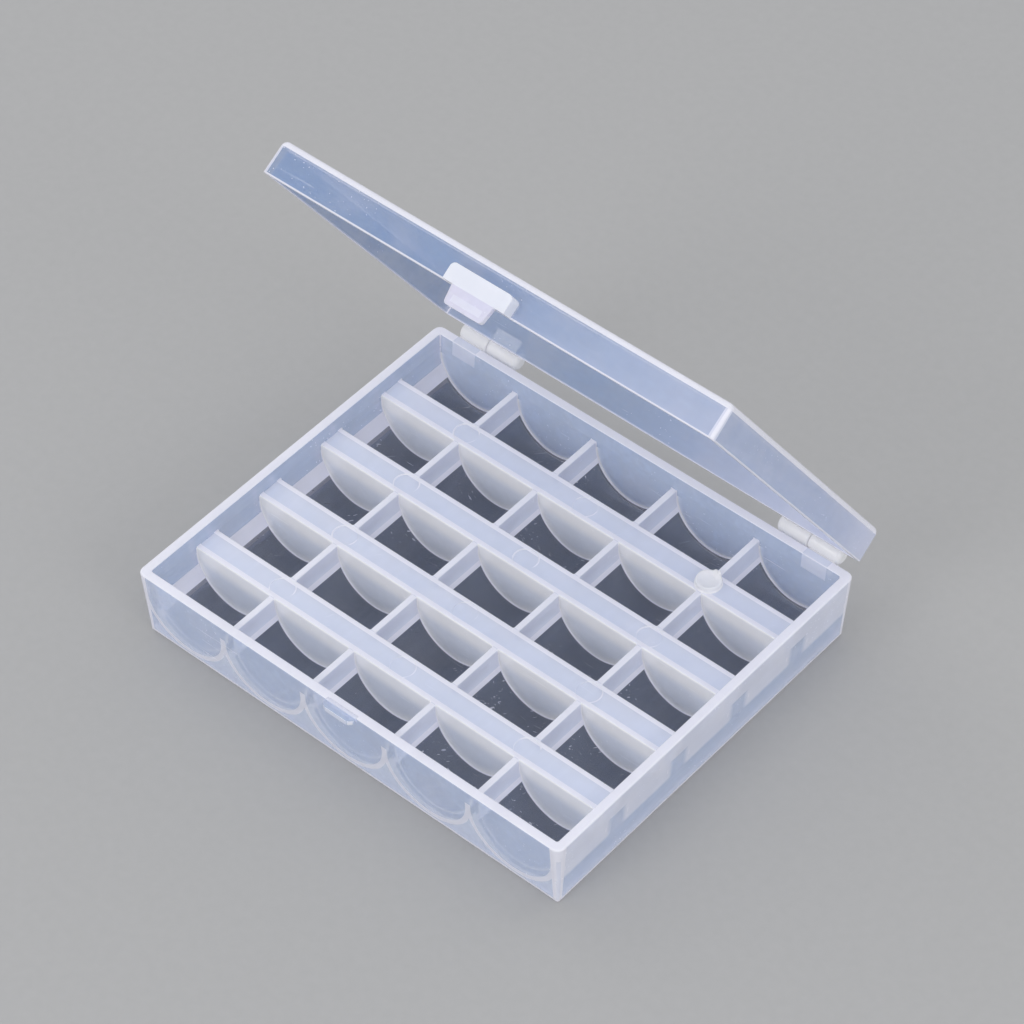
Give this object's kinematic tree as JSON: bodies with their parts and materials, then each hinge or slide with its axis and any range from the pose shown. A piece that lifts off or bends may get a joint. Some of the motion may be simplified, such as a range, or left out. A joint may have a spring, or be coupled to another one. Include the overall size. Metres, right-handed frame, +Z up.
{
  "type": "bobbin storage box",
  "caption": "Shallow clear plastic box with rows of round-bottomed pockets that each hold a sewing bobbin on its edge, a hinged lid and a snap latch.",
  "frame": {"origin": "middle of the tray's foot, on the surface the tray stands on", "axes": "+X to the right along the front, +Y from the latch side to the hinge, +Z up"},
  "size_m": [0.1248, 0.1141, 0.1138],
  "materials": {
    "tray_plastic": "unpainted milky clear polypropylene, moulded gloss with fine handling scratches",
    "lid_plastic": "unpainted milky clear polypropylene, moulded gloss, a little clearer than the tray"
  },
  "bodies": {
    "tray": {"band_1": "tray_plastic", "band_2": "tray_plastic", "band_3": "tray_plastic", "band_4": "tray_plastic", "catch": "tray_plastic", "cradle_1_1": "tray_plastic", "cradle_1_2": "tray_plastic", "cradle_1_3": "tray_plastic", "cradle_1_4": "tray_plastic", "cradle_1_5": "tray_plastic", "cradle_2_1": "tray_plastic", "cradle_2_2": "tray_plastic", "cradle_2_3": "tray_plastic", "cradle_2_4": "tray_plastic", "cradle_2_5": "tray_plastic", "cradle_3_1": "tray_plastic", "cradle_3_2": "tray_plastic", "cradle_3_3": "tray_plastic", "cradle_3_4": "tray_plastic", "cradle_3_5": "tray_plastic", "cradle_4_1": "tray_plastic", "cradle_4_2": "tray_plastic", "cradle_4_3": "tray_plastic", "cradle_4_4": "tray_plastic", "cradle_4_5": "tray_plastic", "cradle_5_1": "tray_plastic", "cradle_5_2": "tray_plastic", "cradle_5_3": "tray_plastic", "cradle_5_4": "tray_plastic", "cradle_5_5": "tray_plastic", "tray_frame": "tray_plastic", "tray_hinge_left": "tray_plastic", "tray_hinge_right": "tray_plastic"},
    "lid": {"latch": "lid_plastic", "lid_hinge_left": "lid_plastic", "lid_hinge_right": "lid_plastic", "lid_shell": "lid_plastic"}
  },
  "joints": [
    {"name": "lid_hinge", "type": "hinge", "parent": "tray", "child": "lid", "pos_m": [0, 0.05477, 0.0192], "axis": [-1, 0, 0], "range_deg": [-56.4, 123.6]}
  ]
}
